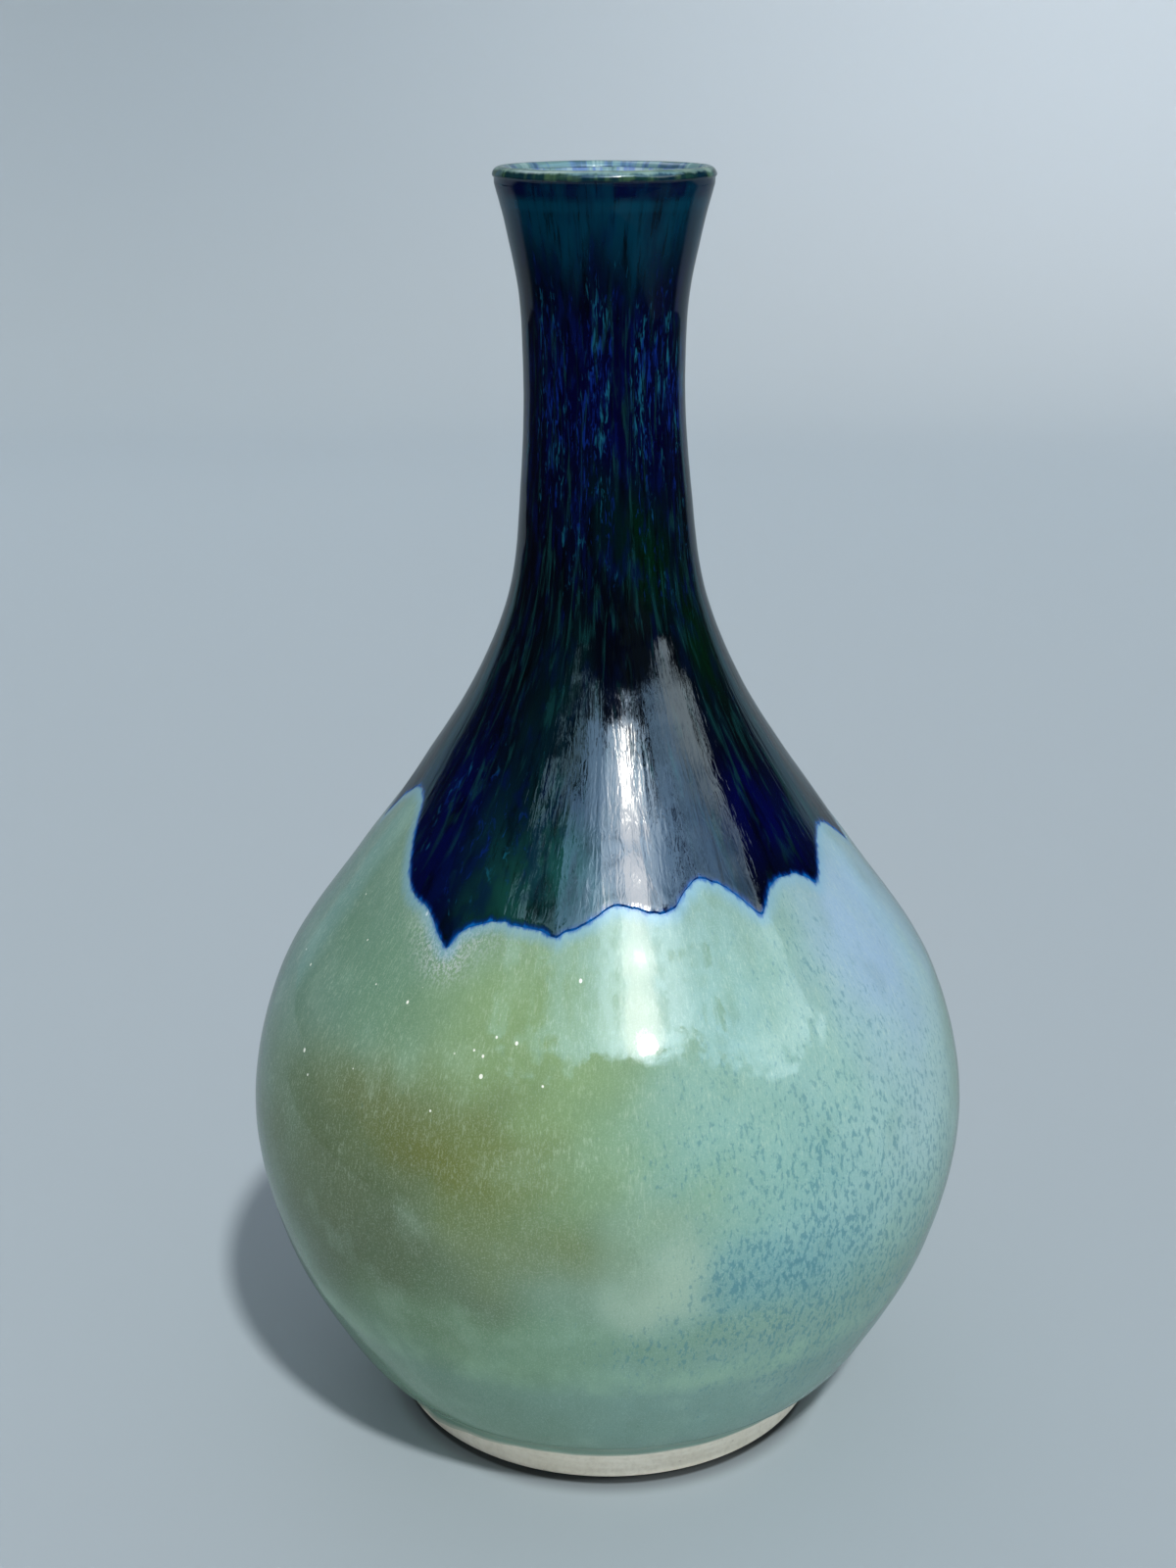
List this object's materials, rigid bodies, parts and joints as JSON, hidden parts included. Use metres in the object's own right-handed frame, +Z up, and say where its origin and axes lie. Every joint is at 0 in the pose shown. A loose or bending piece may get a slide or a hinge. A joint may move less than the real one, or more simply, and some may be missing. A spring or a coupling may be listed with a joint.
{
  "type": "bud vase",
  "caption": "Ceramic bud vase: round belly on a bare clay foot ring, long narrow neck with a flared lip, dark blue glaze run down over a pale green glaze.",
  "frame": {"origin": "centre of the foot ring, on the surface the vase stands on", "axes": "+Z up along the axis of the neck and belly; -Y is the front, where the deepest run of dark glaze hangs just left of the middle"},
  "size_m": [0.119, 0.119, 0.205],
  "materials": {
    "bare_clay": "matt, fine-grained fired stoneware",
    "celadon_glaze": "gloss, mottled pale green and blue with brown and teal flecks",
    "cobalt_glaze": "gloss, near-black blue with teal flecks and green patches",
    "liner_glaze": "gloss, streaked pale blue-green",
    "lip_glaze": "gloss, thin and pale where it has run off the lip"
  },
  "bodies": {
    "root": {"clay_body": "bare_clay", "base_glaze": "celadon_glaze", "cobalt_glaze": "cobalt_glaze", "liner_glaze": "liner_glaze", "lip_glaze": "lip_glaze"}
  },
  "joints": []
}
